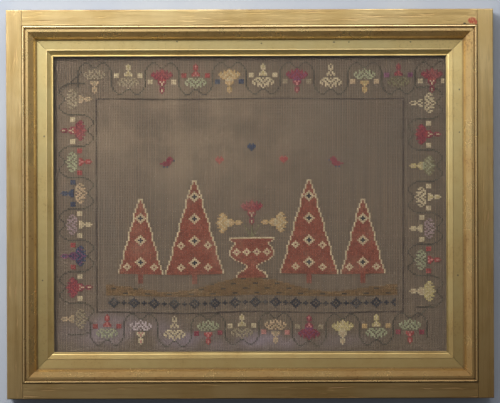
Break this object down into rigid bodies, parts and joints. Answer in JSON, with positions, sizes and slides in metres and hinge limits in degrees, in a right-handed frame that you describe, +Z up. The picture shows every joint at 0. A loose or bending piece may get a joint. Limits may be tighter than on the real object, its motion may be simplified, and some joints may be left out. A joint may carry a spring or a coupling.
{
  "type": "cross stitch sampler in a gilt picture frame",
  "caption": "Flat stitched canvas behind glass, stretched in a rectangular gilt oak picture frame with a flat outer band, a mitred moulding and a gilt slip.",
  "frame": {"origin": "middle of the top rail's back face, where the frame hangs on a wall", "axes": "+X along the frame's width, to the right as seen from the front; +Y back into the wall, so the stitched face looks along -Y; +Z up"},
  "size_m": [0.488, 0.0271, 0.3899],
  "materials": {
    "gilded_oak": "gold leaf laid straight on open oak grain, worn to brown in the pores and along the edges",
    "gilt_moulding": "smooth gilding over gesso, warm gold, darker in the quirk",
    "gilt_slip": "smooth matt gilding, paler and greyer than the frame, with small dark spots",
    "clear_glass": "thin clear picture glass, slightly dusty",
    "stitched_canvas": "brown taupe open canvas with matt wool cross stitch in brick, cream, ochre, crimson and navy",
    "plain_board": "plain thin board, unpainted"
  },
  "bodies": {
    "root": {"stile_left": "gilded_oak", "stile_right": "gilded_oak", "rail_top": "gilded_oak", "rail_bottom": "gilded_oak", "moulding_top": "gilt_moulding", "moulding_bottom": "gilt_moulding", "moulding_left": "gilt_moulding", "moulding_right": "gilt_moulding", "slip_top": "gilt_slip", "slip_bottom": "gilt_slip", "slip_left": "gilt_slip", "slip_right": "gilt_slip", "glass_pane": "clear_glass", "sampler_cloth": "stitched_canvas", "backboard": "plain_board"}
  },
  "joints": []
}
